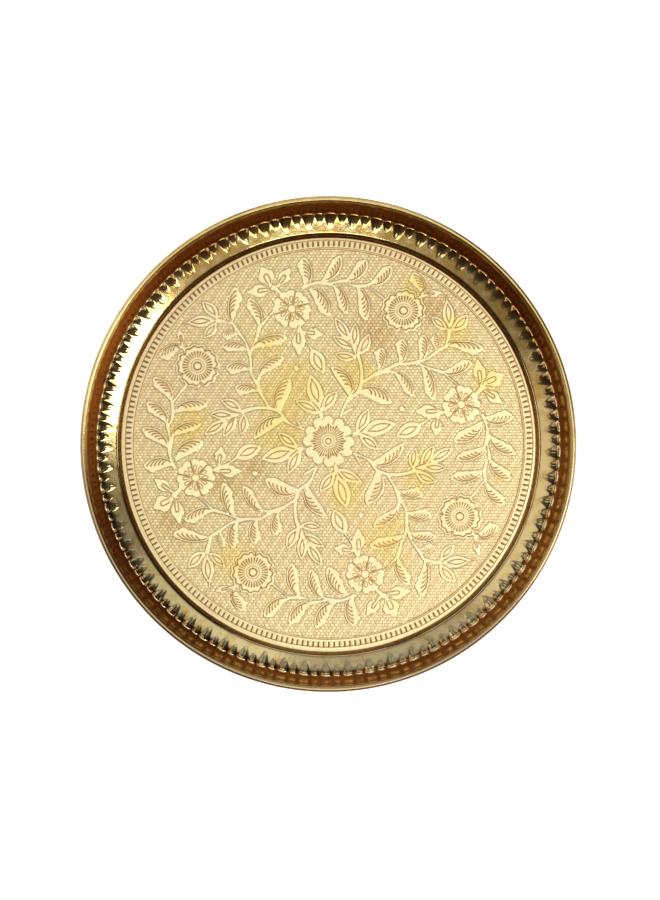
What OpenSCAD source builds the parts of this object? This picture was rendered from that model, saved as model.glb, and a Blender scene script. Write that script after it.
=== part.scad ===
// Round pressed brass tray with a banded wall and a rim rolled over a wire.
// Z is up, the floor lies on z = 0, and the axis of the tray is the Z axis.

/* [Tray] */
// Outside diameter over the rolled rim
tray_d = 305; // [280:1:330]
// Diameter of the flat floor
floor_d = 259; // [240:1:262]
// Thickness of the brass sheet
sheet = 0.7; // [0.5:0.1:1]

/* [Wall] */
// Width of the cove around the floor, seen from above
cove_w = 2.4; // [2:0.1:4]
// Slope of the cove
cove_slope = 48; // [30:1:60]
// Diameter of the ridge between the lower and the upper wall
ridge_d = 286.6; // [276:0.2:288]
// Slope of the lower wall
lower_slope = 20; // [12:1:28]
// Slope of the upper wall
upper_slope = 65; // [45:1:70]
// Inside radius of the bends between the sloping bands
bend_r = 0.6; // [0.3:0.1:1]

/* [Rim] */
// Diameter of the stiffening wire
wire_d = 2.2; // [1.6:0.1:3]
// Play between the wire and the sheet closed around it
wire_play = 0.02; // [0.01:0.01:0.1]
// Gap between the butted ends of the wire
wire_gap = 0.6; // [0.2:0.1:2]
// Angle through which the sheet is rolled around the wire
curl_angle = 285; // [200:5:300]

/* [Floor rings] */
// Height of the raised rings that frame the floor
ring_rise = 0.25; // [0.1:0.05:0.4]
// Width of each raised ring
ring_w = 0.8; // [0.6:0.1:1.2]
// Distance of the outer ring from the edge of the floor
ring_margin = 1.7; // [1:0.1:4]
// Width of the plain band between the outer ring and the two inner ones
ring_band = 4.9; // [3:0.1:6]
// Spacing of the two inner rings
ring_pitch = 1; // [1:0.1:2]

/* [Hidden] */

brass = "#d9b25f";
steel = "#8d8f91";
facets = 360;
bend_steps = 5;

floor_r = floor_d / 2;
ridge_r = ridge_d / 2;
wire_r = wire_d / 2;
curl_in = wire_r + wire_play;
curl_out = curl_in + sheet;
curl_mid = (curl_in + curl_out) / 2;

// Corners of the middle of the sheet, from the axis outwards
cove_top = [floor_r + cove_w, sheet / 2 + cove_w * tan(cove_slope)];
ridge = [ridge_r, cove_top[1] + (ridge_r - cove_top[0]) * tan(lower_slope)];

// Centre of the wire: the upper wall runs tangent to the curl around it
wire_pos_r = tray_d / 2 - curl_out;
wire_pos_z = ridge[1] + ((wire_pos_r - ridge_r) * sin(upper_slope) - curl_mid) / cos(upper_slope);
curl_start = 90 + upper_slope;
wall_top = [wire_pos_r, wire_pos_z] + curl_mid * [cos(curl_start), sin(curl_start)];

ring_r = [
    floor_r - ring_margin,
    floor_r - ring_margin - ring_band,
    floor_r - ring_margin - ring_band - ring_pitch
];

function unit(v) = v / norm(v);
function left(v) = [-v[1], v[0]];

// Points of a round bend of radius r at corner b of the line a, b, c
function bend(a, b, c, r) =
    let (
        u = unit(a - b),
        w = unit(c - b),
        half = acos(u * w) / 2,
        centre = b + unit(u + w) * r / sin(half),
        from = b + u * r / tan(half) - centre,
        to = b + w * r / tan(half) - centre,
        turn = sign(cross(from, to)) * acos(unit(from) * unit(to))
    )
    [
        for (i = [0 : bend_steps])
            let (t = turn * i / bend_steps)
            centre + [from[0] * cos(t) - from[1] * sin(t), from[0] * sin(t) + from[1] * cos(t)]
    ];

// The line shifted sideways by d, along the mean normal at each point
function shifted(line, d) = [
    for (i = [0 : len(line) - 1])
        let (
            before = line[max(i, 1)] - line[max(i, 1) - 1],
            last = min(i, len(line) - 2),
            after = line[last + 1] - line[last],
            n = unit(left(unit(before)) + left(unit(after)))
        )
        line[i] + n * d / (n * left(unit(after)))
];

function reversed(line) = [for (i = [len(line) - 1 : -1 : 0]) line[i]];

centre_point = [0, sheet / 2];
cove_foot = [floor_r, sheet / 2];
mid_bend = bend_r + sheet / 2;
sheet_line = concat(
    [centre_point],
    bend(centre_point, cove_foot, cove_top, mid_bend),
    bend(cove_foot, cove_top, ridge, mid_bend),
    bend(cove_top, ridge, wall_top, mid_bend),
    [wall_top]
);

// Floor and wall, cut through the sheet
module sheet_section() {
    polygon(concat(shifted(sheet_line, -sheet / 2), reversed(shifted(sheet_line, sheet / 2))));
}

// Wedge that leaves the rolled edge open where it comes back to the wall
module curl_mouth() {
    far = 2 * curl_out;
    end = curl_start - curl_angle;
    open = 360 - curl_angle;
    polygon(concat([[0, 0]], [for (a = [end : -open / 3 : end - open]) far * [cos(a), sin(a)]]));
}

// Sheet rolled around the wire
module curl_section() {
    translate([wire_pos_r, wire_pos_z]) difference() {
        circle(r = curl_out, $fn = 48);
        circle(r = curl_in, $fn = 48);
        curl_mouth();
    }
}

// Half-round rings raised on the floor, reaching down into the sheet
module ring_sections() {
    r = (ring_w * ring_w / 4 + ring_rise * ring_rise) / (2 * ring_rise);
    intersection() {
        for (pos = ring_r)
            translate([pos, sheet + ring_rise - r]) circle(r = r, $fn = 48);
        translate([0, sheet / 2]) square([floor_r, sheet]);
    }
}

// Pan: floor, wall and rolled edge, pressed from one sheet
module tray_pan() {
    color(brass)
        rotate_extrude($fn = facets) {
            sheet_section();
            curl_section();
            ring_sections();
        }
}

// Steel wire inside the rolled edge, a hoop with butted ends
module rim_wire() {
    gap_angle = wire_gap / wire_pos_r * 180 / PI;
    color(steel)
        rotate(gap_angle / 2)
            rotate_extrude(angle = 360 - gap_angle, $fn = facets)
                translate([wire_pos_r, wire_pos_z]) circle(r = wire_r, $fn = 32);
}

tray_pan();
rim_wire();
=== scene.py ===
"""Brass serving tray: the visual model and its studio. Lengths are in millimetres until a mesh is made."""

import math

import bpy
import numpy as np
from mathutils import Matrix, Vector


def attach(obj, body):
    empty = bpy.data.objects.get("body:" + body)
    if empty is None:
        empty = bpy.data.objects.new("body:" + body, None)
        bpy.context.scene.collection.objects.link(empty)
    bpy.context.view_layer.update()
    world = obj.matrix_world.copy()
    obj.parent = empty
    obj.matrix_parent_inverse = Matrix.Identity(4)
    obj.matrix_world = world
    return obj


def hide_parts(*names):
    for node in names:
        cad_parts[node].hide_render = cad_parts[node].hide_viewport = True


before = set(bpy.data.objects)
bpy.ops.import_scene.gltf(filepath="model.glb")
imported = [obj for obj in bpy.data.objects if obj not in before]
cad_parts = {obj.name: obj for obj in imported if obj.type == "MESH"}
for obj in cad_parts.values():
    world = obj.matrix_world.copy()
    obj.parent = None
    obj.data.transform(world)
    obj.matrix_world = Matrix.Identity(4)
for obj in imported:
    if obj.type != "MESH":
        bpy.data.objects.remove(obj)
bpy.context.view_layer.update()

MM = 0.001

# Pan and wire, as in the CAD part, but for a curl that stands one more PLAY clear of the wire
TRAY_R = 152.5
SHEET = 0.7
FLOOR_R = 129.5
COVE_W, COVE_SLOPE = 2.4, 48.0
RIDGE_R, LOWER_SLOPE, UPPER_SLOPE = 143.3, 20.0, 65.0
WIRE_D, PLAY = 2.2, 0.02
CURL_MID = WIRE_D / 2 + PLAY + SHEET / 2
CURL_OUT = CURL_MID + SHEET / 2
CURL_IN = CURL_MID - SHEET / 2 + PLAY
CURL_START, CURL_END = 90.0 + UPPER_SLOPE, -130.0
WIRE_R = TRAY_R - CURL_OUT


def rise(run, degrees):
    return run * math.tan(math.radians(degrees))


STEP_Z = SHEET / 2 + rise(COVE_W, COVE_SLOPE)
RIDGE_Z = STEP_Z + rise(RIDGE_R - FLOOR_R - COVE_W, LOWER_SLOPE)
WIRE_Z = RIDGE_Z + rise(WIRE_R - RIDGE_R, UPPER_SLOPE) - CURL_MID / math.cos(math.radians(UPPER_SLOPE))

# Cells across the top of the floor; the underside has half as many
CELLS = 672

# Steps up each side of the wall, in the cove, the lower and the upper wall, and around the curl
TOP_STEPS, LOW_STEPS = (9, 40, 18), (4, 16, 6)
CURL_OUT_STEPS, CURL_IN_STEPS = 26, 18

# Values kept on the mesh's points, which the brass material reads: tarnish and painted shade, polish, share
# of dark red-brown, stains and the side painted redder, a painted ridge highlight, and painted reflections
# of the lobes
SHADES = ("tarnish_and_shade", "polish", "amber", "depth", "ridge_highlight", "thin")

# Rings pressed around the floor: raised rings, and a band of short strokes between them
RING_R = (127.8, 122.9, 121.9)
RING_H, RING_W = 0.15, 0.8
RING_X, RING_Y = 0.15, 0.6
STROKES, STROKE_IN, STROKE_OUT = 240, 123.5, 127.0
SEAM = -64.5
FIELD_R = 121.3

# Golden stains on the floor, and blots where the ground is darker: x, y, radius
STAINS = [
    (-22, 34, 22), (-39, 60, 12), (18, 44, 13), (79, 72, 10), (54, 99, 8), (99, 40, 10),
    (12, -32, 12), (34, -62, 16), (-30, 4, 15), (-86, 12, 12), (60, -20, 10), (-62, -72, 12),
]
BLOTS = [(-46, -16, 9), (-64, -24, 12), (-96, -48, 12), (30, 70, 14), (66, 84, 12)]

# Raised motifs and stippled ground
RISE, GROUND, PEBBLE, CUT, CROWN = 0.12, -0.13, 0.14, 0.17, 0.04
PEBBLE_X, PEBBLE_Y = 2.4, 1.8
PATTERN_X, PATTERN_Y = -0.1, 1.9

# Lobes on the lower wall, a long one and a short one in each pair: tip radius, width as a share of
# the pair, and height. Their spacing drifts around the tray.
PAIRS = 64
LONG_LOBE = (134.6, 0.57, 1.2)
SHORT_LOBE = (136.8, 0.43, 0.95)
LOBE_START, LOBE_DRIFT, LOBE_DRIFT_AT = 0.9, 1.02, 14.7
# How far each lobe strays in place, tip radius, height and lean
LOBE_STRAY = (0.008, 0.6, 0.1, 0.035)
LOBE_SEED = 7
UNDER_LOBES = 0.85
RIDGE_ROUND, FOOT_ROUND = 0.5, 0.5
SWELL_R, SWELL = 138.0, 0.5
# Fine roll along the ridge: height, width, and how far inside the crest it runs
ROLL_H, ROLL_W, ROLL_IN = 0.24, 0.38, 0.7

# Relief on the underside: what the sheet takes up before it shows, its depth, and where it holds tarnish
UNDER_LOSS, UNDER_DEPTH, UNDER_TARNISH_AT = 0.02, 0.28, 0.1

# Share of the dark red-brown on the outside of the wall and the rim
OUTSIDE_RED_BROWN = 0.2

# Directions, in degrees: where the wall is painted redder; where the lobes are painted lighter, with painted
# shade in their gaps, inside the ridge and in a wider cove; where painted reflections of the lobes show; and
# where the rim's painted shade is darkest
RED_SIDE_AT, LIGHT_LOBES_AT, REFLECTIONS_AT, DARK_RIM_AT = 75.0, 268.0, 300.0, 60.0

# Studio, in metres: name, place, size, power and colour of each light, which all face the tray
COOL = (0.85, 0.92, 1.0)
LIGHTS = [
    ("key", (0.62, -0.2, 1.0), (0.36, 0.36), 2.5, (1.0, 0.98, 0.95)),
    ("front", (0.03, -0.64, 1.0), (0.45, 0.22), 1.1, (0.75, 0.94, 1.16)),
    ("back_left", (-0.6, 0.16, 1.0), (0.7, 0.3), 0.24, (1.0, 1.0, 1.0)),
    ("back_right", (0.33, 0.56, 1.0), (0.45, 0.3), 0.18, (0.85, 0.95, 1.0)),
    ("back", (0.0, 1.1, 0.85), (1.2, 0.5), 0.6, (0.6, 0.75, 1.0)),
    ("low_back", (0.1, 1.5, 0.6), (1.1, 0.45), 2.2, COOL),
    ("low_corner", (-1.05, 1.05, 0.6), (1.1, 0.45), 2.2, COOL),
    ("low_left", (-1.5, 0.0, 0.6), (1.1, 0.45), 2.0, COOL),
    ("low_right", (1.45, -0.3, 0.6), (1.1, 0.45), 2.6, COOL),
    ("left", (-1.1, 0.5, 0.72), (0.5, 0.5), 0.5, COOL),
]

# Sky: its level by height, the direction it is dimmed along, and the tint it takes on towards the back
SKY_LEVELS = [(0.0, 0.02), (0.3, 0.06), (0.68, 0.13), (0.8, 0.34), (0.88, 0.52), (0.95, 1.05), (1.0, 1.15)]
DIM_AT, DIM_POWER, DIM_FROM, DIM_TO, DIM_LEVEL = 30.0, 8.0, 0.001, 0.0075, 0.5
BACK_TINT, BACK_FROM, BACK_TO = (1.3, 1.4, 1.75), 0.1, 0.7
BACKDROP = (0.93, 0.93, 0.93)
PAPER, PAPER_GLOW, PAPER_HALF, PAPER_Z = (0.93, 0.93, 0.92), 0.7, 4.0, -0.0001

# Camera: distance and height of view in metres, tilt and its direction in degrees, and aim in millimetres
CAMERA_DISTANCE, CAMERA_VIEW = 1.184, 0.5518
CAMERA_TILT, CAMERA_TURN = 2.0, -76.0
CAMERA_AIM = (1.2, -4.4, 22.0)

# Floor pattern, in millimetres from the pattern's own centre. It is drawn for one quarter and repeats
# by quarter turns, so each entry stands for four. Almond leaves: base, tip, width, bend to the left.
LEAVES = [
    ((17.5, 5.0), (25.2, 20.8), 7.2, -0.4),
    ((20.8, 5.0), (42.0, 11.2), 10.2, 0.4),
    ((19.3, 3.5), (31.4, -5.5), 7.2, 0.5),
    ((57.8, 10.4), (42.3, 3.2), 9.6, 0.2),
    ((17.6, 52.8), (3.7, 54.7), 6.2, 0.7),
    ((16.2, 57.8), (2.4, 65.9), 6.4, 0.1),
    ((13.2, 63.5), (3.9, 77.7), 6.8, 0.0),
    ((16.0, 58.5), (17.0, 74.3), 6.4, 0.0),
    ((18.8, 54.3), (25.6, 67.6), 7.0, -0.9),
    ((75.6, 71.0), (74.2, 88.5), 7.6, -0.3),
    ((74.0, 69.8), (64.4, 78.0), 6.4, 0.0),
    ((77.0, 69.2), (87.6, 79.3), 7.6, -0.6),
]

# Acanthus leaves: stem, tip, bulge of the ribbed edge and of the plain edge, both to the left
ACANTHUS = [
    ((13.0, 27.0), (1.0, 46.5), -7.5, 0.5),
    ((18.3, 29.6), (39.4, 23.7), 7.8, -2.0),
    ((30.5, 44.0), (34.4, 58.3), -3.4, 4.0),
    ((40.0, 43.3), (53.2, 27.8), 4.9, -2.0),
    ((43.8, 48.8), (47.0, 64.0), -4.3, 3.5),
    ((56.3, 50.0), (60.0, 67.0), -4.6, 2.4),
    ((66.8, 55.8), (66.5, 66.5), -3.0, 2.5),
    ((57.3, 48.0), (65.6, 25.7), 5.1, -2.6),
    ((71.0, 43.6), (90.0, 49.4), -4.9, 2.8),
    ((73.5, 59.5), (97.0, 58.6), 4.0, -4.0),
    ((-13.0, 95.3), (0.4, 78.3), 6.6, -2.4),
    ((2.5, 97.8), (11.0, 79.5), 5.2, -1.8),
    ((17.5, 96.0), (23.0, 75.7), 5.8, -2.1),
    ((96.5, 15.5), (115.5, 15.3), -5.6, 3.4),
    ((-4.5, 101.0), (8.0, 116.5), -5.8, 2.2),
    ((10.5, 101.3), (24.7, 113.3), -5.3, 2.9),
    ((24.8, 98.8), (40.1, 109.5), -5.6, 2.5),
    ((58.3, 91.0), (53.5, 106.0), -4.6, 3.6),
]

# Buds: base, tip, width at the shoulders
BUDS = [
    ((70.5, 18.8), (53.8, 18.6), 8.4),
    ((68.5, 16.0), (66.8, 3.0), 7.6),
    ((95.4, 34.5), (93.2, 51.7), 8.3),
    ((97.0, 35.8), (109.5, 42.0), 11.0),
    ((97.0, 32.0), (109.0, 23.5), 7.5),
    ((60.5, 91.3), (71.0, 93.5), 4.6),
]

# Vines and stems: points (x, y, half width) along the middle
VINES = [
    [
        (7.7, 15.9, 0.9), (8.9, 19.5, 0.6), (10.7, 23.5, 0.8), (13.0, 26.8, 1.4), (16.5, 29.0, 1.1),
        (18.6, 31.0, 1.2), (19.8, 34.0, 1.1), (21.0, 36.8, 1.1), (25.5, 39.6, 0.9), (29.5, 42.0, 1.3),
        (34.0, 43.6, 1.4), (38.5, 46.2, 1.0), (43.0, 48.4, 0.9), (48.0, 48.4, 0.9), (52.5, 48.8, 1.1),
        (57.0, 50.0, 1.2), (61.0, 51.2, 0.8), (65.0, 53.8, 1.0), (69.0, 56.8, 1.2), (73.3, 59.5, 1.1),
        (74.2, 62.5, 0.8), (75.2, 66.0, 1.1), (75.6, 70.0, 1.6),
    ],
    [(9.3, 17.0, 0.6), (11.5, 18.6, 0.9), (14.8, 20.3, 0.5)],
    [
        (20.6, 36.5, 1.1), (20.9, 43.0, 1.1), (20.2, 48.5, 1.2), (18.6, 53.5, 1.4), (16.8, 58.0, 1.8),
        (14.6, 62.5, 0.9),
    ],
    [(15.3, 4.3, 1.2), (17.5, 4.9, 1.6), (21.0, 5.0, 1.2)],
    [(34.0, 43.6, 1.3), (38.5, 43.9, 1.0), (41.5, 42.6, 0.7)],
    [
        (52.0, 48.6, 0.5), (57.0, 48.0, 0.8), (62.0, 46.0, 0.8), (66.0, 44.7, 0.9), (69.5, 43.7, 1.2),
        (72.3, 42.9, 1.0),
    ],
    [(71.5, 43.2, 0.8), (75.5, 39.6, 0.6), (79.0, 36.6, 0.6), (81.5, 34.2, 0.5)],
    [
        (-16.0, 96.3, 1.4), (-11.5, 98.2, 0.9), (-7.0, 99.4, 1.1), (-2.5, 99.2, 1.4), (1.0, 98.3, 1.1),
        (3.2, 97.4, 0.7),
    ],
    [(1.0, 99.0, 0.6), (4.5, 99.7, 0.7), (8.0, 100.3, 1.1), (10.8, 100.6, 1.2)],
    [(10.6, 99.3, 0.3), (14.0, 98.0, 0.7), (18.0, 97.3, 1.1), (22.0, 97.4, 1.1), (24.7, 97.9, 1.0)],
    [(24.5, 97.6, 0.8), (27.0, 95.3, 0.5), (30.0, 93.0, 0.6), (33.5, 90.3, 0.8), (35.5, 88.6, 0.5)],
    [(57.8, 10.6, 0.9), (60.5, 12.6, 0.6), (64.0, 14.8, 0.8), (67.5, 16.5, 1.6), (71.0, 18.0, 1.2)],
    [(92.5, 29.5, 1.0), (94.5, 32.0, 1.4), (96.5, 34.0, 1.6)],
    [(74.2, 88.0, 0.6), (73.9, 91.5, 0.25)],
    [(56.5, 89.8, 0.7), (59.0, 91.0, 0.9), (62.5, 91.6, 0.7)],
]

# Engraved lines that part leaves at their roots, drawn like the vines
PARTINGS = [
    [(19.5, 5.6, 0.3), (22.0, 7.6, 0.35), (24.5, 10.0, 0.2)],
    [(21.0, 4.9, 0.3), (24.0, 4.0, 0.35), (27.0, 3.0, 0.2)],
    [(17.3, 54.5, 0.3), (18.0, 58.0, 0.35), (20.0, 64.0, 0.3), (22.0, 66.0, 0.2)],
    [(15.2, 57.0, 0.3), (14.0, 60.5, 0.35), (11.5, 63.0, 0.2)],
    [(75.0, 70.5, 0.3), (73.3, 74.0, 0.35), (71.5, 76.0, 0.2)],
    [(76.3, 70.5, 0.3), (78.3, 74.0, 0.35), (80.0, 76.0, 0.2)],
]

# Knob: x, y, radius. Centres of the two flowers.
KNOB = (45.9, 20.2, 1.75)
BLOSSOM = (82.9, 22.9)
POPPY = (47.0, 81.8)


def smooth(low, high, value):
    """From 0 at low to 1 at high, with a soft start and end."""
    t = np.clip((value - low) / (high - low), 0.0, 1.0)
    return t * t * (3.0 - 2.0 * t)


class Relief:
    """The stamped pattern at a set of points: distance to the nearest raised shape, and engraved depth."""

    def __init__(self, x, y):
        self.x, self.y = x, y
        self.edge = np.full(x.shape, 9.0)
        self.cut = np.zeros(x.shape)

    def near(self, points, reach):
        """Indices of the points within reach of the box around the given places."""
        low = np.min(points, axis=0)[:2] - reach
        high = np.max(points, axis=0)[:2] + reach
        inside = (self.x > low[0]) & (self.x < high[0]) & (self.y > low[1]) & (self.y < high[1])
        return np.flatnonzero(inside)

    def put(self, at, distance):
        self.edge[at] = np.minimum(self.edge[at], distance)

    def carve(self, at, distance, half_width, depth=1.0):
        groove = depth * np.exp(-((distance / half_width) ** 2))
        self.cut[at] = np.maximum(self.cut[at], groove)

    def along(self, base, tip, reach):
        """Points near a line, with their share of the way along it, how far left of it, and its length."""
        base, tip = np.array(base), np.array(tip)
        at = self.near([base, tip], reach)
        length = np.hypot(*(tip - base))
        way = (tip - base) / length
        x, y = self.x[at] - base[0], self.y[at] - base[1]
        return at, (x * way[0] + y * way[1]) / length, y * way[0] - x * way[1], length

    def stroke(self, points, raised=False, depth=1.0):
        """A line of varying half width through the points (x, y, half width)."""
        points = np.array(points)
        at = self.near(points, 2.5)
        x, y = self.x[at], self.y[at]
        best = np.full(len(at), 9.0)
        spread = np.full(len(at), 9.0)
        for a, b in zip(points[:-1], points[1:]):
            way = b[:2] - a[:2]
            t = np.clip(((x - a[0]) * way[0] + (y - a[1]) * way[1]) / (way @ way), 0.0, 1.0)
            gap = np.hypot(x - a[0] - t * way[0], y - a[1] - t * way[1])
            half = a[2] + t * (b[2] - a[2])
            best = np.minimum(best, gap - half)
            spread = np.minimum(spread, gap / half)
        if raised:
            self.put(at, best)
        else:
            self.carve(at, spread, 1.0, depth)


def rounded(points, steps=4):
    """The same line with more points, on a Catmull-Rom curve."""
    p = np.array(points)
    p = np.vstack([2 * p[0] - p[1], p, 2 * p[-1] - p[-2]])
    line = []
    for i in range(1, len(p) - 2):
        for t in np.arange(steps) / steps:
            a = 2 * p[i]
            b = (p[i + 1] - p[i - 1]) * t
            c = (2 * p[i - 1] - 5 * p[i] + 4 * p[i + 1] - p[i + 2]) * t * t
            d = (3 * p[i] - p[i - 1] - 3 * p[i + 1] + p[i + 2]) * t * t * t
            line.append(0.5 * (a + b + c + d))
    line.append(p[-2])
    return line


def between(value, low, high, fade=0.25):
    """1 between low and high, fading to 0 outside."""
    return smooth(low - fade, low + fade, value) * smooth(high + fade, high - fade, value)


def outside_ends(u, length, distance):
    """Adds the gap past either end of a shape to a distance measured across it."""
    past = length * np.maximum(0.0, np.maximum(-u, u - 1.0))
    return np.where(past > 0, np.hypot(past, np.maximum(distance, 0.0)), distance)


def leaf(relief, base, tip, width, bend):
    """An almond leaf with a second, engraved outline inside it."""
    at, u, v, length = relief.along(base, tip, width)
    v = v - 4 * bend * u * (1 - u)
    inside = np.clip(u, 0.0, 1.0)
    half = 0.5 * width * np.sin(np.pi * inside**0.92) ** 0.8
    relief.put(at, outside_ends(u, length, np.abs(v) - half))
    w = (u - 0.22) / 0.6
    slot = 0.2 * width * np.sin(np.pi * np.clip(w, 0.0, 1.0)) ** 0.75
    line = outside_ends(w, 0.6 * length, np.abs(np.abs(v) - slot))
    relief.carve(at, line, 0.34)
    for end in (0.2, 0.84):
        relief.carve(at, np.hypot((u - end) * length, v), 0.6)


def acanthus(relief, stem, tip, ribbed, plain):
    """A curled leaf: a thin raised rib along its outer edge, and a stepped body cut by a comb of strokes."""
    at, u, v, length = relief.along(stem, tip, abs(ribbed) + 2)
    inside = np.clip(u, 0.0, 1.0)
    rib = ribbed * np.sin(np.pi * inside**0.9) ** 0.55
    steps = 1.0 + 0.3 * np.abs(np.sin(3.5 * np.pi * inside)) * smooth(0.35, 0.5, inside)
    body = plain * np.sin(np.pi * inside**2.2) ** 0.7 * steps
    side = math.copysign(1.0, ribbed)
    from_rib, from_body = (rib - v) * side, (v - body) * side
    relief.put(at, outside_ends(u, length, -np.minimum(from_rib, from_body)))
    size = min(1.0, length / 18.0)
    thick = np.maximum((rib - body) * side, 0.1)
    tapered = 0.32 * size * smooth(0.98, 0.5, inside) * smooth(0.0, 0.15, inside) + 0.05
    hem = np.abs(from_rib - np.minimum(1.15 * size, 0.5 * thick))
    relief.carve(at, hem, tapered, between(u, 0.08, 0.95, 0.04))
    stem, tip = np.array(stem), np.array(tip)
    way = (tip - stem) / length
    left = np.array([-way[1], way[0]])

    def place(along, across):
        high = ribbed * math.sin(math.pi * along**0.9) ** 0.55
        low = plain * math.sin(math.pi * along**2.2) ** 0.7
        return stem + way * along * length + left * (low + (high - low) * across)

    for k in range(5):
        head = 0.38 + 0.125 * k
        low = 0.36 + 0.02 * k
        line = []
        for t in (0.0, 0.15, 0.35, 0.6, 0.85):
            turn = math.sin(t * math.pi / 2)
            spot = place(head - 0.3 * t**1.5, low + (0.86 - low) * turn)
            line.append((*spot, size * (0.48 - 0.24 * turn)))
        relief.stroke(line)


def bud(relief, base, tip, width):
    """A bud that is widest near its tip, with a slot open towards its base."""
    at, u, v, length = relief.along(base, tip, width)
    inside = np.clip(u, 0.0, 1.0)
    half = 0.5 * width * (0.22 + 0.78 * smooth(0.05, 0.5, inside)) * (1 - inside**5) ** 0.8
    half *= 1.0 - 0.35 * smooth(0.62, 0.8, inside)
    relief.put(at, outside_ends(u, length, np.abs(v) - half))
    slot = 0.13 * width
    past = np.maximum(u - 0.5, 0.0) * length
    line = np.abs(np.hypot(past, v) - slot * smooth(0.0, 0.3, inside))
    relief.carve(at, line, 0.36, smooth(0.1, 0.2, u))


def polar(relief, centre, reach):
    at = relief.near([np.array(centre)], reach)
    x, y = relief.x[at] - centre[0], relief.y[at] - centre[1]
    return at, np.hypot(x, y), np.degrees(np.arctan2(y, x))


def spokes(angle, count, start=0.0):
    """Degrees from each point to the nearest of count even spokes."""
    pitch = 360.0 / count
    return (angle - start + pitch / 2) % pitch - pitch / 2


def petals(relief, at, r, angle, first, reach, size):
    """Six heart-shaped petals, each of two round lobes of the given size."""
    side = np.abs(spokes(angle, 6, first)) - 14.2
    lobe = np.hypot(r * np.cos(np.radians(side)) - reach, r * np.sin(np.radians(side))) - size
    relief.put(at, np.minimum(lobe, r - reach))


def blossom(relief, centre):
    """Six heart-shaped petals, twelve drop-shaped slots and a plain boss."""
    at, r, angle = polar(relief, centre, 14)
    petals(relief, at, r, angle, 18.0, 8.8, 3.3)
    gap = np.abs(spokes(angle, 6, 48.0))
    relief.carve(at, r * np.sin(np.radians(gap)), 0.42, smooth(2.4, 2.8, r))
    drop = np.abs(np.radians(spokes(angle, 12, 33.0)) * r)
    half = 0.95 * smooth(3.2, 6.2, r)
    slot = np.where(r < 6.9, np.abs(drop - half), np.abs(np.hypot(drop, r - 6.9) - 0.95))
    relief.carve(at, slot, 0.3, 0.9 * smooth(3.3, 3.7, r))
    relief.carve(at, np.abs(r - 2.6), 0.4, 0.8)


def poppy(relief, centre):
    """Five frilled petals with a raised hem, a fringe of stamens and a ringed boss."""
    at, r, angle = polar(relief, centre, 17)
    side = np.abs(spokes(angle, 5, -62.0))
    hem = 13.9 - 1.5 * (side / 36.0) ** 4 + 0.5 * np.cos(np.radians(side * 15.0))
    relief.put(at, r - hem)
    relief.carve(at, np.abs(r - hem + 1.7), 0.5)
    part = r * np.sin(np.radians(36.0 - side))
    relief.carve(at, part, 0.45, smooth(9.8, 10.4, r))
    stamen = np.abs(np.radians(spokes(angle, 30))) * r
    relief.carve(at, stamen, 0.3 + 0.25 * smooth(6, 9, r), between(r, 5.4, 9.4))
    relief.carve(at, np.abs(r - 2.4), 0.5)
    relief.carve(at, np.abs(r - 4.1), 0.35, 0.6)


def centre_flower(relief):
    """Six heart-shaped petals around a long fringe of stamens, at the middle of the tray."""
    at, r, angle = polar(relief, (0.0, 0.0), 18)
    petals(relief, at, r, angle, 45.0, 12.8, 3.4)
    stamen = np.abs(np.radians(spokes(angle, 36))) * r
    reach = 10.2 + 0.8 * np.cos(np.radians(angle * 12.0))
    fringe = smooth(4.4, 4.9, r) * smooth(0.3, -0.3, r - reach)
    relief.carve(at, stamen, 0.24 + 0.3 * smooth(6.5, 9.5, r), fringe)
    gap = np.abs(spokes(angle, 6, 15.0))
    relief.carve(at, r * np.sin(np.radians(gap)), 0.5, 0.7 * between(r, 10.6, 16.0))
    relief.carve(at, np.abs(r - 1.7), 0.35)
    relief.carve(at, np.abs(r - 3.6), 0.35, 0.6)


def pattern(x, y):
    """The whole stamped pattern, as a Relief over the points x, y."""
    whole = Relief(x, y)
    centre_flower(whole)
    for _ in range(4):
        quarter = Relief(x, y)
        quarter.edge, quarter.cut = whole.edge, whole.cut
        for line in VINES:
            quarter.stroke(rounded(line), raised=True)
        for shape in LEAVES:
            leaf(quarter, *shape)
        for shape in ACANTHUS:
            acanthus(quarter, *shape)
        for shape in BUDS:
            bud(quarter, *shape)
        for line in PARTINGS:
            quarter.stroke(line)
        blossom(quarter, BLOSSOM)
        poppy(quarter, POPPY)
        at, r, _ = polar(quarter, KNOB[:2], 4)
        quarter.put(at, r - KNOB[2])
        x, y = y, -x
    return whole


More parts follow.
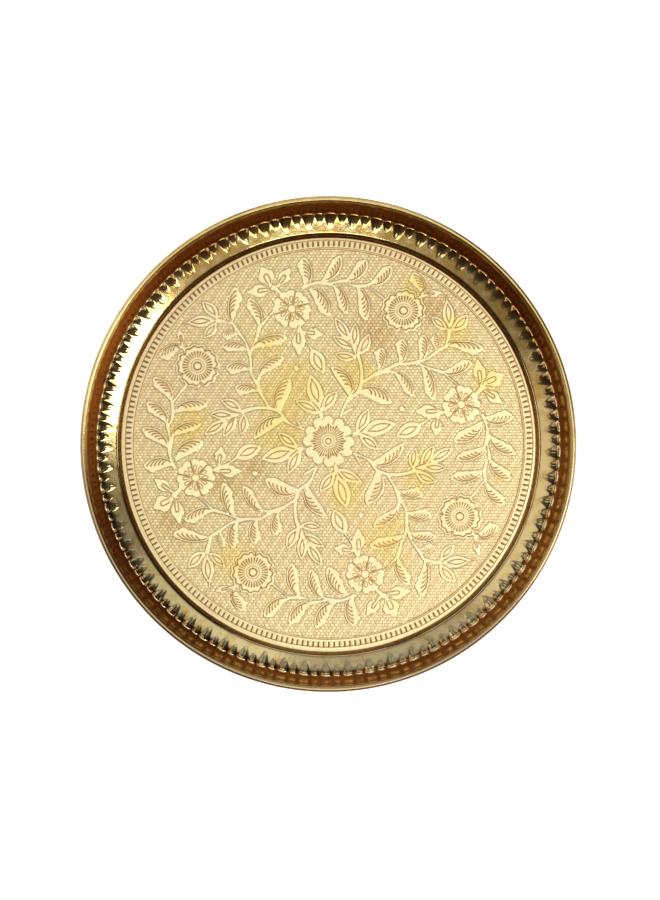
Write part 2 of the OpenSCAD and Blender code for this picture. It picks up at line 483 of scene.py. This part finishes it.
def floor_relief(x, y):
    """Height of the floor's top over the plain sheet, and how recessed and tarnished it is, from 0 to 1,
    darker still in the blots.
    """
    drawn = pattern(x - PATTERN_X, y - PATTERN_Y)
    raised = smooth(0.2, -0.3, drawn.edge)
    cut = drawn.cut * raised
    row = np.floor(y / PEBBLE_Y)
    across = ((x / PEBBLE_X + 0.5 * (row % 2)) % 1.0 - 0.5) * PEBBLE_X
    along = ((y / PEBBLE_Y) % 1.0 - 0.5) * PEBBLE_Y
    wobble = 0.16 * np.sin(0.9 * x + 2.1 * row) + 0.12 * np.sin(1.7 * y)
    uneven = 0.8 + 0.2 * np.sin(7.3 * row + 4.1 * np.floor(x / PEBBLE_X + 0.5 * (row % 2)))
    pebble = uneven - smooth(0.7, 1.25, np.hypot((across + wobble) / 1.1, along / 0.84))
    pebble = np.maximum(pebble, 0.0)
    rim = np.exp(-(((drawn.edge - 0.26) / 0.28) ** 2))
    ground = GROUND + PEBBLE * pebble * (1.0 - rim) - 0.1 * rim
    crown = CROWN * smooth(0.0, -2.4, drawn.edge)
    height = ground + (RISE + crown - ground) * raised - CUT * cut
    blot = 0.0
    for spot_x, spot_y, size in BLOTS:
        blot = np.maximum(blot, np.exp(-(np.hypot(x - spot_x, y - spot_y) / size) ** 2))
    hollow = 0.54 - 0.54 * pebble * (1.0 - 0.5 * rim) + 0.06 * rim + 0.2 * blot
    return height, (1.0 - raised) * hollow + 0.92 * cut


def ring_relief(x, y):
    """The same for the rings around the edge of the floor."""
    angle = np.degrees(np.arctan2(y - RING_Y, x - RING_X))
    r = np.hypot(x - RING_X, y - RING_Y)
    height, tarnish_and_shade = np.zeros(r.shape), np.full(r.shape, 0.16)
    shift = 0.4 * smooth(-0.5, 0.5, (angle - SEAM + 180.0) % 360.0 - 180.0) - 0.2
    for ring in RING_R:
        bump = np.exp(-(((r - ring - shift) / (0.42 * RING_W)) ** 2))
        height += RING_H * bump
        tarnish_and_shade += 0.85 * np.exp(-(((r - ring - shift + 0.62) / 0.3) ** 2)) - 0.16 * bump
    gap = np.abs(np.radians(spokes(angle, STROKES))) * r
    span = smooth(STROKE_IN, STROKE_IN + 0.35, r) * smooth(STROKE_OUT, STROKE_OUT - 0.35, r)
    stroke = span * np.exp(-((gap / 0.46) ** 2))
    height += 0.1 * span - 0.36 * stroke
    tarnish_and_shade += 0.9 * stroke
    return height, np.clip(tarnish_and_shade, 0.0, 1.0)


def floor_surface(x, y):
    """Relief of the whole floor, with its plain edge darkened by painted shade."""
    r = np.hypot(x, y)
    height, tarnish_and_shade = floor_relief(x, y)
    ring_h, ring_c = ring_relief(x, y)
    rings = smooth(FIELD_R - 0.4, FIELD_R + 0.2, np.hypot(x - RING_X, y - RING_Y))
    height += (ring_h - height) * rings
    tarnish_and_shade += (ring_c - tarnish_and_shade) * rings
    edge = smooth(FLOOR_R - 0.15, FLOOR_R - 0.65, r)
    # Towards its edge the floor is painted dark, as shade
    return height * edge, tarnish_and_shade * edge + 0.95 * (1 - edge)


def soft_max(a, b, reach):
    """The larger of a and b, with the corner between them rounded over reach."""
    blend = np.maximum(reach - np.abs(a - b), 0.0) / reach
    return np.maximum(a, b) + blend * blend * reach / 4


def soft_min(a, b, reach):
    return -soft_max(-a, -b, reach)


def lobe_heights(angle):
    """For each column: its lobe's tip radius, distance from the crest, half width, height and lean."""
    rng = np.random.default_rng(LOBE_SEED)
    place = PAIRS * angle / 360.0 - LOBE_DRIFT * np.sin(np.radians(angle - LOBE_DRIFT_AT)) - LOBE_START
    pair = np.round(place)
    off = place - pair
    short = np.abs(off) > (0.5 + (LONG_LOBE[1] - SHORT_LOBE[1]) / 2) / 2
    which = (2 * pair + short * np.sign(off)).astype(int) % (2 * PAIRS)
    jitter = rng.uniform(-1.0, 1.0, (4, 2 * PAIRS))[:, which]
    off = off - 0.5 * np.sign(off) * short + LOBE_STRAY[0] * jitter[0]
    tip = np.where(short, SHORT_LOBE[0], LONG_LOBE[0]) + LOBE_STRAY[1] * jitter[1]
    half = np.where(short, SHORT_LOBE[1], LONG_LOBE[1]) / 2
    high = np.where(short, SHORT_LOBE[2], LONG_LOBE[2]) * (1.0 + LOBE_STRAY[2] * jitter[2])
    return tip, off, half, high, LOBE_STRAY[3] * jitter[3]


def lobe_bump(r, tip, off, half, high, lean):
    """Height over the lower wall of a lobe that swells from tip to ridge, with a shallow crease along it."""
    t = np.clip((r - tip) / (RIDGE_R - tip), 0.0, 1.0)
    off = off - lean * (1.0 - t) * t * 4
    width = np.maximum(half * (0.12 + 0.88 * t**0.5), 0.02)
    across = np.clip(1.0 - (off / width) ** 2, 0.0, 1.0)
    crease = 0.14 * np.exp(-((off / 0.035) ** 2)) * smooth(0.1, 0.4, t) * smooth(0.95, 0.7, t)
    return high * (t**1.4 * (1.0 - 0.15 * smooth(0.7, 1.0, t)) * across**1.3 - crease)


def swell(r):
    """Height by which the lower wall curves up to meet the ridge."""
    return SWELL * np.clip((r - SWELL_R) / (RIDGE_R - SWELL_R), 0.0, 1.0) ** 2


def slope_line(r, z, degrees, lift):
    """A sloping band of the wall through (r, z), raised along its own normal: its height at any radius."""
    base = z + lift / math.cos(math.radians(degrees))
    return lambda at: base + rise(at - r, degrees)


def wall_bands(side):
    """Cove, lower wall and upper wall, on the top of the sheet (side 1) or its underside (side -1)."""
    lift = side * SHEET / 2
    cove = slope_line(FLOOR_R, SHEET / 2, COVE_SLOPE, lift)
    lower = slope_line(FLOOR_R + COVE_W, STEP_Z, LOWER_SLOPE, lift)
    upper = slope_line(RIDGE_R, RIDGE_Z, UPPER_SLOPE, lift)
    return cove, lower, upper


def crossing(a, b, low, high):
    """Radius between low and high at which two bands meet."""
    gap = a(low) - b(low), a(high) - b(high)
    return low + (high - low) * gap[0] / (gap[0] - gap[1])


def wall_rows(angle, side, steps):
    """Rows of (radius, height, lobe share) from the floor to the curl, one value for each column."""
    cove, lower, upper = wall_bands(side)
    foot = crossing(lambda r: SHEET * (side + 1) / 2, cove, FLOOR_R - 2, FLOOR_R + 2)
    step_r = crossing(cove, lower, FLOOR_R, RIDGE_R)
    ridge_r = crossing(lower, upper, FLOOR_R, RIDGE_R)
    lobes = lobe_heights(angle)
    full = SWELL + lobe_bump(RIDGE_R, *lobes)
    crest_r = ridge_r + full / (rise(1.0, UPPER_SLOPE) - rise(1.0, LOWER_SLOPE))
    radius = CURL_OUT if side > 0 else CURL_IN
    top_r = WIRE_R + radius * math.cos(math.radians(CURL_START))
    in_cove, in_lower, in_upper = (np.linspace(0, 1, count + 1)[:-1] for count in steps)
    stations = [foot + (step_r - foot) * t + 0 * angle for t in in_cove]
    stations += [step_r + (crest_r - step_r) * (1 - (1 - t) ** 1.25) for t in in_lower]
    stations += [crest_r + (top_r - crest_r) * t**1.5 for t in in_upper]
    rows = []
    for r in stations:
        bump = lobe_bump(r, *lobes)
        if side < 0:
            bump = UNDER_LOBES * bump
        z = soft_min(cove(r), lower(r), FOOT_ROUND)
        z = soft_max(z, SHEET * (side + 1) / 2 + 0 * r, FOOT_ROUND)
        z += swell(r)
        z = soft_max(z + bump, upper(r), RIDGE_ROUND)
        if side > 0:
            roll = np.exp(-(((r - crest_r + ROLL_IN) / ROLL_W) ** 2))
            z += ROLL_H * roll * (0.15 + 0.85 * smooth(0.15, 0.5, bump / LONG_LOBE[2]))
        rows.append((r, z, bump / LONG_LOBE[2]))
    return rows


def curl_rows(angle, start, end, radius, steps):
    """Rows around the wire, from one angle of the curl to another."""
    rows = []
    for t in np.linspace(start, end, steps + 1):
        r = WIRE_R + radius * math.cos(math.radians(t))
        z = WIRE_Z + radius * math.sin(math.radians(t))
        rows.append((r + 0 * angle, z + 0 * angle, 0 * angle))
    return rows


def disc(cells):
    """A square grid of cells pressed into a disc of radius 1: x, y and the index of each point."""
    side = np.linspace(-1.0, 1.0, cells + 1)
    b, a = np.meshgrid(side, side)
    wide = np.abs(a) > np.abs(b)
    r = np.where(wide, a, b)
    safe = np.where(r == 0, 1.0, r)
    turn = np.where(wide, b / safe, 2.0 - a / safe) * math.pi / 4
    index = np.arange((cells + 1) ** 2).reshape(cells + 1, cells + 1)
    return (r * np.cos(turn)).ravel(), (r * np.sin(turn)).ravel(), index


def border(index, x, y):
    """Indices of the disc's outer points, anticlockwise from the X axis."""
    edge = np.concatenate([index[0], index[-1], index[1:-1, 0], index[1:-1, -1]])
    angle = np.round(np.degrees(np.arctan2(y[edge], x[edge])) % 360.0, 6) % 360.0
    return edge[np.argsort(angle)]


def strip(inner, outer):
    """Quads between two closed rows of points."""
    return np.stack([inner, outer, np.roll(outer, -1), np.roll(inner, -1)], axis=1)


def grid_quads(index, upward):
    """Quads of a square grid of points, facing up or down."""
    a, b, c, d = index[:-1, :-1], index[1:, :-1], index[1:, 1:], index[:-1, 1:]
    return np.stack([a, b, c, d] if upward else [a, d, c, b], axis=-1).reshape(-1, 4)


class Shell:
    """The pan's mesh as it grows: points with their shades, and the faces between them."""

    def __init__(self):
        self.points, self.shade, self.quads, self.triangles = [], [], [], []
        self.count = 0

    def add(self, x, y, z, tarnish_and_shade, polish):
        """New points, and their indices."""
        self.points.append(np.stack([x, y, z], axis=1))
        plain = (len(SHADES) - 2) * [0 * x]
        self.shade.append(np.stack([tarnish_and_shade + 0 * x, polish + 0 * x] + plain, axis=1))
        self.count += len(x)
        return np.arange(self.count - len(x), self.count)

    def paint(self, label, values):
        """Sets one shade of the points added last."""
        self.shade[-1][:, SHADES.index(label)] = values

    def add_rows(self, rows, angle, previous, inside):
        """Rows of points, each joined to the one before, shaded as the inside or as the plain outside."""
        cos, sin = np.cos(np.radians(angle)), np.sin(np.radians(angle))
        for r, z, lobe in rows:
            new = self.add(r * cos, r * sin, z, 0.0, 1.0)
            # Painted shade in the cove, inside the ridge and outside the rim
            self.paint("tarnish_and_shade", rim_shade(r, angle))
            self.paint("polish", 1.0 - 0.35 * smooth(WIRE_Z + 0.4, WIRE_Z + 1.5, z))
            self.paint("amber", OUTSIDE_RED_BROWN)
            if inside:
                # Dark red-brown, with painted shade on the lobes and in their gaps
                self.paint("amber", amber_shade(r, z, lobe, angle))
                # The side painted redder, where the painted ridge highlight is orange
                self.paint("depth", facing(angle, RED_SIDE_AT, 0.1, 0.8))
                # Painted highlight along the ridge
                self.paint("ridge_highlight", painted_ridge_highlight(r, lobe, angle))
                # Painted reflections of the lobes on the upper wall
                self.paint("thin", painted_lobe_reflections(r, lobe, angle))
            self.quads.append(strip(previous, new))
            previous = new
        return previous

    def halve(self, outer, x, y, z):
        """A row with half as many points as the one before, joined to it. Its own indices."""
        new = self.add(x, y, z, 0.4, 1.0)
        self.triangles.append(np.stack([outer[::2], new, outer[1::2]], axis=1))
        following = np.roll(new, -1), np.roll(outer[::2], -1)
        self.quads.append(np.stack([outer[1::2], new, *following], axis=1))
        return new


def add_top_floor(shell, radius):
    """The floor's pressed top. The indices of its outer points."""
    x, y, index = disc(CELLS)
    x, y = x * radius, y * radius
    height, tarnish_and_shade = floor_surface(x, y)
    shell.add(x, y, SHEET + height, tarnish_and_shade, 0.0)
    stained = 0.0
    for spot_x, spot_y, size in STAINS:
        stained = np.maximum(stained, np.exp(-(np.hypot(x - spot_x, y - spot_y) / size) ** 2))
    shell.paint("depth", stained)
    shell.quads.append(grid_quads(index, True))
    return border(index, x, y)


def add_underside(shell, radius, last):
    """The floor's underside, with the softened reverse of the relief, joined to the wall's last row."""
    x, y, index = disc(CELLS // 2)
    x, y = x * radius, y * radius
    height, _ = floor_surface(x, y)
    hollow = np.clip(height - UNDER_LOSS, 0.0, UNDER_DEPTH)
    start = shell.count
    shell.add(x, y, hollow, 0.25 + 0.3 * (hollow > UNDER_TARNISH_AT), 0.3)
    shell.quads.append(grid_quads(index + start, False))
    shell.quads.append(strip(last, start + border(index, x, y)))


def make_pan():
    """The pan as one closed mesh: pressed top, rolled rim, and a coarser underside."""
    shell = Shell()
    top_angle = np.arange(4 * CELLS) * 90.0 / CELLS
    top_rows = wall_rows(top_angle, 1, TOP_STEPS)
    last = add_top_floor(shell, top_rows[0][0][0])
    outside = curl_rows(top_angle, CURL_START, CURL_END, CURL_OUT, CURL_OUT_STEPS)
    last = shell.add_rows(top_rows[1:] + outside, top_angle, last, True)
    low_angle = np.arange(2 * CELLS) * 180.0 / CELLS
    low_rows = wall_rows(low_angle, -1, LOW_STEPS)
    inside = curl_rows(low_angle, CURL_END, CURL_START, CURL_IN, CURL_IN_STEPS)
    first_r, first_z, _ = inside[0]
    cos, sin = np.cos(np.radians(low_angle)), np.sin(np.radians(low_angle))
    last = shell.halve(last, first_r * cos, first_r * sin, first_z)
    last = shell.add_rows(inside[1:] + low_rows[:0:-1], low_angle, last, False)
    add_underside(shell, low_rows[0][0][0], last)
    return build_mesh("pan", shell)


def facing(angle, towards, low, high):
    """From 0 to 1 as the angle turns towards a direction, between two cosines of the angle between them."""
    return smooth(low, high, np.cos(np.radians(angle - towards)))


def rim_shade(r, angle):
    """Painted shade on the wall: in the cove, just inside the ridge on the side of the lighter lobes, and
    outside the rim, where it is darkest on two opposite sides.
    """
    wide = 0.5 * facing(angle, LIGHT_LOBES_AT, -0.2, 0.5)
    cove = np.exp(-(((r - FLOOR_R - 0.6 - wide) / (1.2 + wide)) ** 2))
    shade_by_side = 0.6 + 0.4 * np.cos(np.radians(2 * (angle - DARK_RIM_AT)))
    outer = smooth(WIRE_R + 0.9, WIRE_R + 1.45, r) * shade_by_side
    crease = 0.75 * np.exp(-(((r - RIDGE_R + 1.9) / 0.55) ** 2)) * facing(angle, LIGHT_LOBES_AT, -0.2, 0.4)
    return np.clip(0.85 * cove + outer + crease, 0.0, 1.0)


def amber_shade(r, z, lobe, angle):
    """Share of dark red-brown: full on the upper wall, and inside the ridge painted shade on the lobes,
    moving into their gaps on the side of the lighter lobes.
    """
    start = RIDGE_R + 0.65 * lobe
    upper = smooth(start - 0.2, start + 0.5, r) * smooth(WIRE_Z + 0.3, WIRE_Z - 0.9, z)
    shaded_lobes = 0.9 * smooth(RIDGE_R - 7.5, RIDGE_R - 3.0, r) * (0.3 + 0.7 * lobe)
    gaps = smooth(RIDGE_R - 4.0, RIDGE_R - 1.2, r) * (1.25 - 1.3 * lobe)
    lower = shaded_lobes + (gaps - shaded_lobes) * facing(angle, LIGHT_LOBES_AT, -0.2, 0.4)
    return np.clip(np.maximum(upper, lower), 0.0, 1.0)


def painted_lobe_reflections(r, lobe, angle):
    """Painted reflections of the lobes, in patches on the upper wall above them."""
    patch = np.exp(-(((r - RIDGE_R - 3.5) / 0.75) ** 2)) * smooth(0.15, 0.7, lobe)
    return patch * facing(angle, REFLECTIONS_AT, -0.2, 0.5)


def painted_ridge_highlight(r, lobe, angle):
    """Painted highlight along the ridge, broken between the lobes away from the redder side."""
    red_side = facing(angle, RED_SIDE_AT, 0.1, 0.8)
    line = np.exp(-(((r - RIDGE_R + 0.4 - 0.65 * lobe) / 0.36) ** 2))
    return line * (red_side + (1.0 - red_side) * smooth(0.15, 0.5, lobe))


def build_mesh(name, shell):
    """A mesh object from a shell, with the shade values on its points."""
    points, shade = np.concatenate(shell.points), np.concatenate(shell.shade)
    quads = np.concatenate(shell.quads).astype(np.int32)
    triangles = np.concatenate(shell.triangles).astype(np.int32)
    mesh = bpy.data.meshes.new(name)
    mesh.vertices.add(len(points))
    mesh.vertices.foreach_set("co", (points * MM).astype(np.float32).ravel())
    mesh.loops.add(quads.size + triangles.size)
    mesh.loops.foreach_set("vertex_index", np.concatenate([quads.ravel(), triangles.ravel()]))
    mesh.polygons.add(len(quads) + len(triangles))
    starts = np.concatenate([4 * np.arange(len(quads)), quads.size + 3 * np.arange(len(triangles))])
    mesh.polygons.foreach_set("loop_start", starts.astype(np.int32))
    mesh.update(calc_edges=True)
    mesh.polygons.foreach_set("use_smooth", np.ones(len(mesh.polygons), dtype=bool))
    for column, label in enumerate(SHADES):
        layer = mesh.attributes.new(label, "FLOAT", "POINT")
        layer.data.foreach_set("value", np.ascontiguousarray(shade[:, column], dtype=np.float32))
    obj = bpy.data.objects.new(name, mesh)
    bpy.context.scene.collection.objects.link(obj)
    return obj


class Nodes:
    """Short calls for building a material's node tree."""

    def __init__(self, name):
        self.material = bpy.data.materials.new(name)
        self.material.use_nodes = True
        self.tree = self.material.node_tree
        self.shader = self.tree.nodes["Principled BSDF"]

    def link(self, source, target):
        self.tree.links.new(source, target)

    def new(self, kind, **settings):
        node = self.tree.nodes.new(kind)
        for key, value in settings.items():
            setattr(node, key, value)
        return node

    def attribute(self, name):
        return self.new("ShaderNodeAttribute", attribute_name=name).outputs["Fac"]

    def noise(self, scale, detail=3.0, roughness=0.5, stretch=None):
        node = self.new("ShaderNodeTexNoise")
        node.inputs["Scale"].default_value = scale
        node.inputs["Detail"].default_value = detail
        node.inputs["Roughness"].default_value = roughness
        place = self.new("ShaderNodeTexCoord").outputs["Object"]
        if stretch:
            mapping = self.new("ShaderNodeMapping")
            mapping.inputs["Scale"].default_value = stretch
            self.link(place, mapping.inputs["Vector"])
            place = mapping.outputs["Vector"]
        self.link(place, node.inputs["Vector"])
        return node.outputs["Fac"]

    def math(self, operation, a, b=0.0, c=0.0):
        node = self.new("ShaderNodeMath", operation=operation)
        for socket, value in zip(node.inputs, (a, b, c)):
            if isinstance(value, (int, float)):
                socket.default_value = value
            else:
                self.link(value, socket)
        return node.outputs[0]

    def span(self, value, low, high, start=0.0, end=1.0):
        """Maps value from low..high to start..end."""
        node = self.new("ShaderNodeMapRange")
        for key, number in (("From Min", low), ("From Max", high), ("To Min", start), ("To Max", end)):
            node.inputs[key].default_value = number
        self.link(value, node.inputs["Value"])
        return node.outputs[0]

    def mix(self, share, a, b):
        node = self.new("ShaderNodeMix", data_type="RGBA")
        self.link(share, node.inputs["Factor"])
        for socket, colour in ((node.inputs["A"], a), (node.inputs["B"], b)):
            if isinstance(colour, tuple):
                socket.default_value = (*colour, 1.0)
            else:
                self.link(colour, socket)
        return node.outputs["Result"]

    def bump(self, height, strength, distance):
        node = self.new("ShaderNodeBump")
        node.inputs["Strength"].default_value = strength
        node.inputs["Distance"].default_value = distance
        self.link(height, node.inputs["Height"])
        self.link(node.outputs["Normal"], self.shader.inputs["Normal"])


# Brass of the floor: raised metal, its rosier and golden patches, tarnish, and engraved lines, whose colour
# also paints shade at the floor's edge
CREAM = (0.96, 0.83, 0.44)
ROSE = (0.95, 0.79, 0.44)
GOLD = (0.96, 0.77, 0.29)
TARNISH = (0.53, 0.27, 0.075)
ENGRAVED = (0.28, 0.14, 0.045)

# Brass of the wall: polished metal and its warmer streaks, and dark for painted shade and for tarnish on the
# underside
POLISHED = (0.92, 0.68, 0.29)
WARM = (0.74, 0.45, 0.13)
DARK = (0.14, 0.06, 0.015)

# Red-brown on the wall: dark, in lighter clouds, painted redder on one side, and painted reflections of the
# lobes
AMBER = (0.21, 0.062, 0.008)
HONEY = (0.30, 0.11, 0.016)
RUSSET = (0.26, 0.07, 0.007)
LOBE_REFLECTION = (1.0, 0.60, 0.17)

# Painted highlight along the ridge: pale, and orange on the redder side
PALE_HIGHLIGHT = (1.0, 0.76, 0.42)
ORANGE_HIGHLIGHT = (1.0, 0.46, 0.12)


def floor_colour(n, tarnish_and_shade, depth, fine):
    """Pale satin brass with golden stains, tarnished in the recesses, darkest in the engraved lines and in
    painted shade at its edge.
    """
    high = n.mix(n.span(n.noise(9.0, 2.0), 0.45, 0.6), CREAM, ROSE)
    stain = n.math("ADD", n.math("MULTIPLY", depth, 0.45), n.noise(26.0, 6.0, 0.65))
    high = n.mix(n.span(stain, 0.58, 0.85), high, GOLD)
    tarnished = n.math("MULTIPLY", tarnish_and_shade, n.span(fine, 0.2, 0.75, 0.85, 1.15))
    floor = n.mix(n.span(tarnished, 0.0, 0.8), high, TARNISH)
    return n.mix(n.span(tarnish_and_shade, 0.75, 1.0), floor, ENGRAVED)


def red_brown_colour(n, depth):
    """Dark red-brown in clouds, painted redder on one side, with ragged painted reflections of the lobes."""
    red_brown = n.mix(n.span(n.noise(22.0, 5.0, 0.65), 0.35, 0.7), AMBER, HONEY)
    red_brown = n.mix(depth, red_brown, RUSSET)
    ragged = n.span(n.noise(260.0, 3.0), 0.38, 0.6, 0.25, 1.0)
    return n.mix(n.math("MULTIPLY", n.attribute("thin"), ragged), red_brown, LOBE_REFLECTION)


def wall_colour(n, tarnish_and_shade, depth, ridge_highlight):
    """Polished brass with warm streaks, dark red-brown over part of it, a painted highlight along the ridge
    and painted shade; one side is painted warmer.
    """
    grain = n.noise(120.0, 5.0, 0.6, (1.0, 1.0, 0.3))
    streaks = n.math("ADD", grain, n.math("MULTIPLY", depth, 0.16))
    wall = n.mix(n.span(streaks, 0.5, 0.7), POLISHED, WARM)
    wall = n.mix(n.attribute("amber"), wall, red_brown_colour(n, depth))
    wall = n.mix(ridge_highlight, wall, n.mix(depth, PALE_HIGHLIGHT, ORANGE_HIGHLIGHT))
    return n.mix(tarnish_and_shade, wall, DARK)


def brass_roughness(n, tarnish_and_shade, polish, ridge_highlight, fine):
    """Satin on the floor and rougher in its recesses, near a mirror on the wall."""
    satin = n.math("ADD", n.span(fine, 0.3, 0.7, 0.26, 0.4), n.math("MULTIPLY", tarnish_and_shade, 0.22))
    smears = n.span(n.noise(90.0, 4.0, 0.6), 0.35, 0.7, 0.08, 0.17)
    mirror = n.math("ADD", smears, n.math("MULTIPLY", ridge_highlight, 0.12))
    rough = n.new("ShaderNodeMix", data_type="FLOAT")
    n.link(polish, rough.inputs["Factor"])
    n.link(satin, rough.inputs["A"])
    n.link(mirror, rough.inputs["B"])
    return rough.outputs["Result"]


def brass_material():
    """Brass: satin and pale on the raised floor, tarnished in the recesses, polished on the wall and rim."""
    n = Nodes("pressed_brass")
    tarnish_and_shade, polish, depth, ridge_highlight = (n.attribute(name) for name in ("tarnish_and_shade", "polish", "depth", "ridge_highlight"))
    fine = n.noise(420.0, 3.0, 0.6)
    floor = floor_colour(n, tarnish_and_shade, depth, fine)
    wall = wall_colour(n, tarnish_and_shade, depth, ridge_highlight)
    n.link(n.mix(polish, floor, wall), n.shader.inputs["Base Color"])
    n.shader.inputs["Metallic"].default_value = 1.0
    n.link(brass_roughness(n, tarnish_and_shade, polish, ridge_highlight, fine), n.shader.inputs["Roughness"])
    dents = n.math("MULTIPLY", n.noise(160.0, 2.0), 3.0)
    n.bump(n.math("ADD", n.noise(700.0, 2.0), dents), 0.25, 0.0001)
    return n.material


STEEL = (0.46, 0.46, 0.45)
STEEL_STAIN = (0.30, 0.27, 0.24)


def steel_material():
    """Drawn steel wire with faint stains and fine scratches."""
    n = Nodes("drawn_steel")
    stain = n.span(n.noise(40.0, 3.0), 0.4, 0.7)
    n.link(n.mix(stain, STEEL, STEEL_STAIN), n.shader.inputs["Base Color"])
    n.shader.inputs["Metallic"].default_value = 1.0
    scratch = n.noise(300.0, 2.0, 0.6, (1.0, 1.0, 14.0))
    n.link(n.span(scratch, 0.3, 0.7, 0.28, 0.5), n.shader.inputs["Roughness"])
    n.bump(scratch, 0.2, 0.00005)
    return n.material


def paper_material():
    """Plain pale floor under the tray."""
    n = Nodes("pale_floor")
    n.shader.inputs["Base Color"].default_value = (*PAPER, 1.0)
    n.shader.inputs["Roughness"].default_value = 0.9
    n.shader.inputs["Emission Color"].default_value = (1.0, 1.0, 1.0, 1.0)
    n.shader.inputs["Emission Strength"].default_value = PAPER_GLOW
    return n.material


def area_light(name, place, size, power, colour):
    """A soft light that faces the middle of the tray."""
    light = bpy.data.lights.new(name, "AREA")
    light.shape = "RECTANGLE"
    light.size, light.size_y = size
    light.energy = power
    light.color = colour
    obj = bpy.data.objects.new(name, light)
    obj.location = place
    obj.rotation_euler = (-Vector(place)).to_track_quat("-Z", "Y").to_euler()
    bpy.context.scene.collection.objects.link(obj)


def world_span(tree, value, low, high, start, end):
    """Maps value from low..high to start..end in the world's tree."""
    node = tree.nodes.new("ShaderNodeMapRange")
    for key, number in (("From Min", low), ("From Max", high), ("To Min", start), ("To Max", end)):
        node.inputs[key].default_value = number
    tree.links.new(value, node.inputs["Value"])
    return node.outputs[0]


def towards(tree, direction, axis):
    """How far a direction points along an axis, from -1 to 1."""
    dot = tree.nodes.new("ShaderNodeVectorMath")
    dot.operation = "DOT_PRODUCT"
    dot.inputs[1].default_value = axis
    tree.links.new(direction, dot.inputs[0])
    return dot.outputs["Value"]


def sky_colour(tree, direction, level):
    """The level, darker along DIM_AT and its opposite, and tinted towards the back."""
    dim = math.radians(DIM_AT)
    steep = tree.nodes.new("ShaderNodeMath")
    steep.operation = "POWER"
    steep.inputs[1].default_value = DIM_POWER
    tree.links.new(towards(tree, direction, (math.cos(dim), math.sin(dim), 0.0)), steep.inputs[0])
    scale = tree.nodes.new("ShaderNodeVectorMath")
    scale.operation = "SCALE"
    tree.links.new(level, scale.inputs[0])
    dimmed = world_span(tree, steep.outputs[0], DIM_FROM, DIM_TO, 1.0, DIM_LEVEL)
    tree.links.new(dimmed, scale.inputs["Scale"])
    back = towards(tree, direction, (0.0, 1.0, 0.0))
    tint = tree.nodes.new("ShaderNodeMix")
    tint.data_type = "RGBA"
    tint.blend_type = "MULTIPLY"
    tree.links.new(world_span(tree, back, BACK_FROM, BACK_TO, 0.0, 1.0), tint.inputs["Factor"])
    tree.links.new(scale.outputs[0], tint.inputs["A"])
    tint.inputs["B"].default_value = (*BACK_TINT, 1.0)
    return tint.outputs["Result"]


def sky():
    """Soft light from above that fades to a dim horizon, and a pale backdrop for the camera alone."""
    world = bpy.data.worlds.new("studio")
    bpy.context.scene.world = world
    world.use_nodes = True
    tree = world.node_tree
    tree.nodes.clear()
    place = tree.nodes.new("ShaderNodeTexCoord")
    split = tree.nodes.new("ShaderNodeSeparateXYZ")
    ramp = tree.nodes.new("ShaderNodeValToRGB")
    shine = tree.nodes.new("ShaderNodeBackground")
    seen = tree.nodes.new("ShaderNodeBackground")
    ray = tree.nodes.new("ShaderNodeLightPath")
    either = tree.nodes.new("ShaderNodeMixShader")
    out = tree.nodes.new("ShaderNodeOutputWorld")
    tree.links.new(place.outputs["Generated"], split.inputs[0])
    tree.links.new(split.outputs["Z"], ramp.inputs["Fac"])
    colour = sky_colour(tree, place.outputs["Generated"], ramp.outputs["Color"])
    tree.links.new(colour, shine.inputs["Color"])
    tree.links.new(ray.outputs["Is Camera Ray"], either.inputs["Fac"])
    tree.links.new(shine.outputs[0], either.inputs[1])
    tree.links.new(seen.outputs[0], either.inputs[2])
    tree.links.new(either.outputs[0], out.inputs["Surface"])
    seen.inputs["Color"].default_value = (*BACKDROP, 1.0)
    while len(ramp.color_ramp.elements) < len(SKY_LEVELS):
        ramp.color_ramp.elements.new(0.5)
    for element, (position, level) in zip(ramp.color_ramp.elements, SKY_LEVELS):
        element.position = position
        element.color = (level, level, level, 1.0)


def paper():
    """The floor that the tray lies on."""
    mesh = bpy.data.meshes.new("floor")
    corners = [(x * PAPER_HALF, y * PAPER_HALF, PAPER_Z) for x, y in ((-1, -1), (1, -1), (1, 1), (-1, 1))]
    mesh.from_pydata(corners, [], [(0, 1, 2, 3)])
    mesh.materials.append(paper_material())
    floor = bpy.data.objects.new("floor", mesh)
    bpy.context.scene.collection.objects.link(floor)


def add_camera():
    """A camera almost straight above, with the tray's +Y side at the top of its picture."""
    data = bpy.data.cameras.new("camera")
    data.sensor_fit = "VERTICAL"
    data.angle_y = 2 * math.atan(CAMERA_VIEW / 2 / CAMERA_DISTANCE)
    data.clip_start = 0.01
    camera = bpy.data.objects.new("camera", data)
    tilt, turn = math.radians(CAMERA_TILT), math.radians(CAMERA_TURN)
    away = Vector((math.sin(tilt) * math.cos(turn), math.sin(tilt) * math.sin(turn), math.cos(tilt)))
    camera.location = Vector(CAMERA_AIM) * MM + away * CAMERA_DISTANCE
    right = Vector((0.0, 1.0, 0.0)).cross(away).normalized()
    camera.rotation_euler = Matrix((right, away.cross(right), away)).transposed().to_euler()
    bpy.context.scene.collection.objects.link(camera)
    bpy.context.scene.camera = camera


def studio():
    """Pale floor, soft light and camera."""
    paper()
    sky()
    for light in LIGHTS:
        area_light(*light)
    add_camera()
    bpy.context.scene.view_settings.view_transform = "Standard"


pan = make_pan()
pan.data.materials.append(brass_material())
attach(pan, "root")
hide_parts("tray_pan")

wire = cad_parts["rim_wire"]
wire.data.materials.clear()
wire.data.materials.append(steel_material())

studio()
